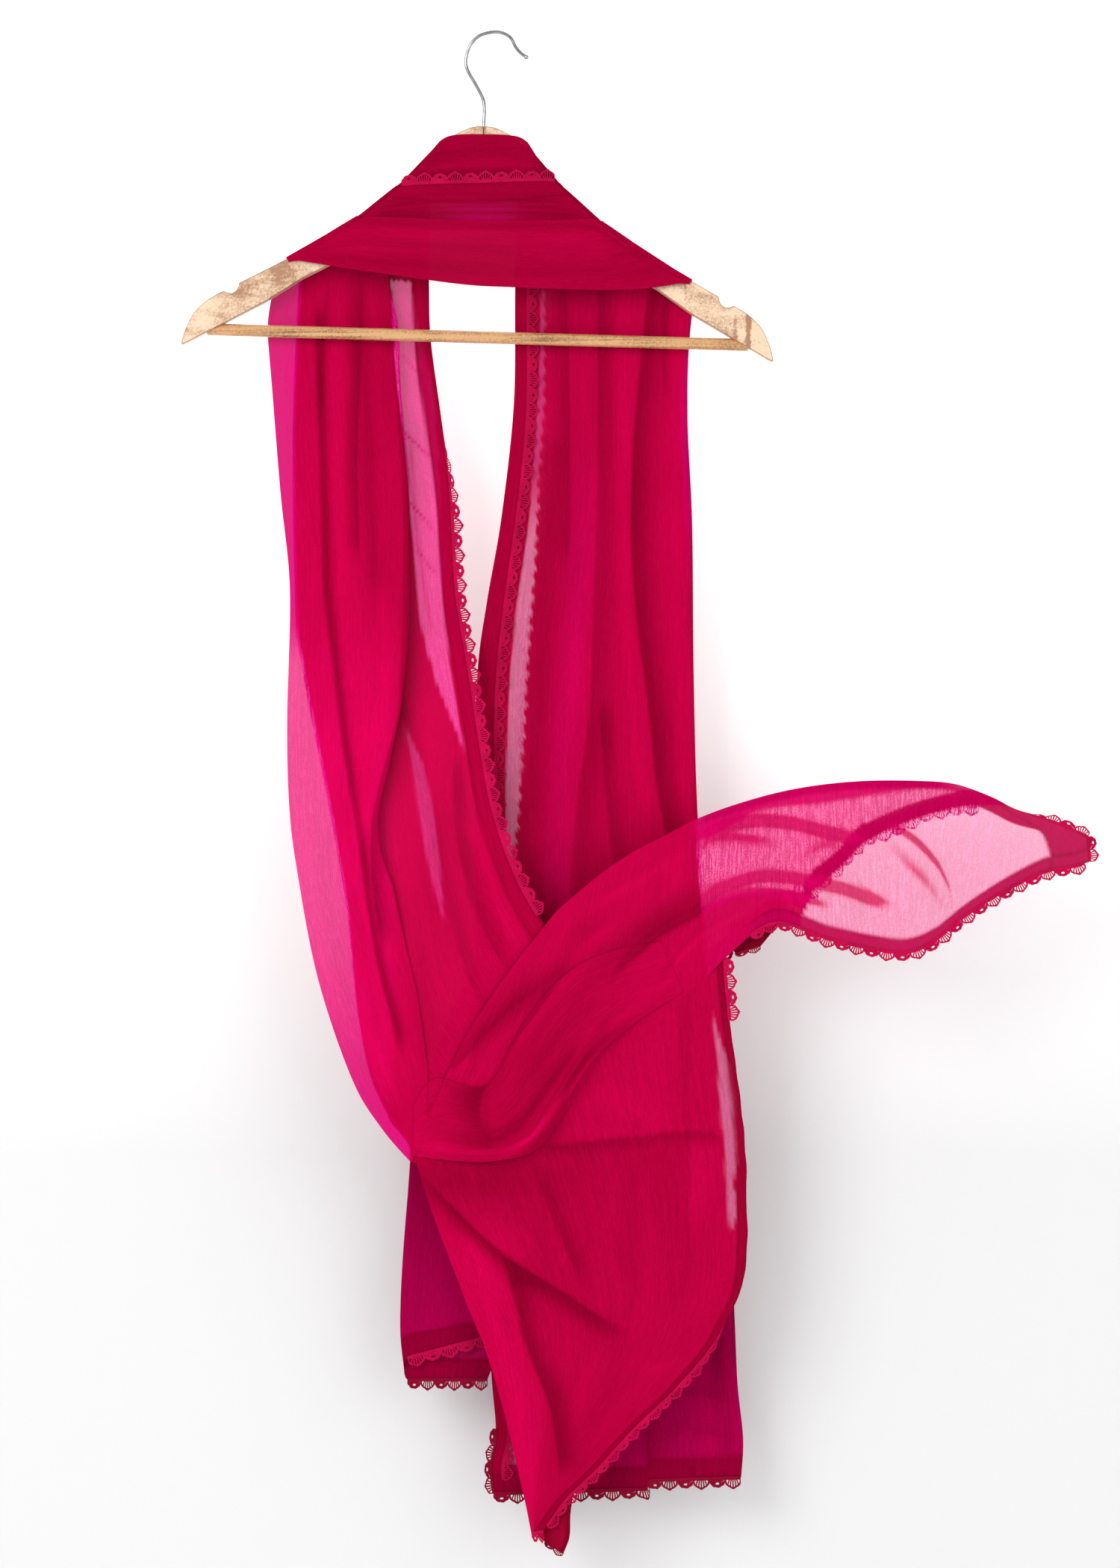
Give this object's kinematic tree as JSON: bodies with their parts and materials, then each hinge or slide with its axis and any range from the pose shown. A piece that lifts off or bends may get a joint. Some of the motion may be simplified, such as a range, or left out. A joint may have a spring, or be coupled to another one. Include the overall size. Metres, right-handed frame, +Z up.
{
  "type": "dupatta stole on a clothes hanger",
  "caption": "Lace-edged chiffon dupatta stole draped over a wooden clothes hanger, one end thrown out to the side.",
  "frame": {"origin": "inner side of the hook's crown, where a rail carries the hanger", "axes": "+Z up, +X to the viewer's right, +Y away from the viewer, towards the wall behind"},
  "size_m": [0.6898, 0.082, 1.1413],
  "materials": {
    "cloth_band": "crinkled chiffon, several layers",
    "cloth_left": "crinkled chiffon, sheer",
    "cloth_right": "crinkled chiffon, sheer",
    "cloth_rear": "crinkled chiffon, several layers",
    "lace": "embroidered scalloped edging",
    "arm_wood": "satin varnish",
    "bar_wood": "gloss varnish",
    "wire": "bright plated wire"
  },
  "bodies": {
    "root": {"band_top": "cloth_band", "band_middle": "cloth_band", "band_lower": "cloth_band", "left_fall": "cloth_left", "right_fall": "cloth_right", "throw": "cloth_left", "throw_flap": "cloth_left", "swag": "cloth_left", "front_tail": "cloth_left", "rear_tail_left": "cloth_rear", "lace_band_middle": "lace", "lace_left_fall": "lace", "lace_rear_hem_first": "lace", "lace_rear_hem_second": "lace", "lace_rear_bottom": "lace", "lace_throw": "lace", "lace_throw_end": "lace", "lace_throw_flap": "lace", "lace_tail_diagonal": "lace", "lace_tail_tip": "lace", "lace_rear_left_front": "lace", "lace_rear_left_back": "lace", "hanger_arm_left": "arm_wood", "hanger_arm_right": "arm_wood", "hanger_bar": "bar_wood", "hook": "wire"}
  },
  "joints": []
}
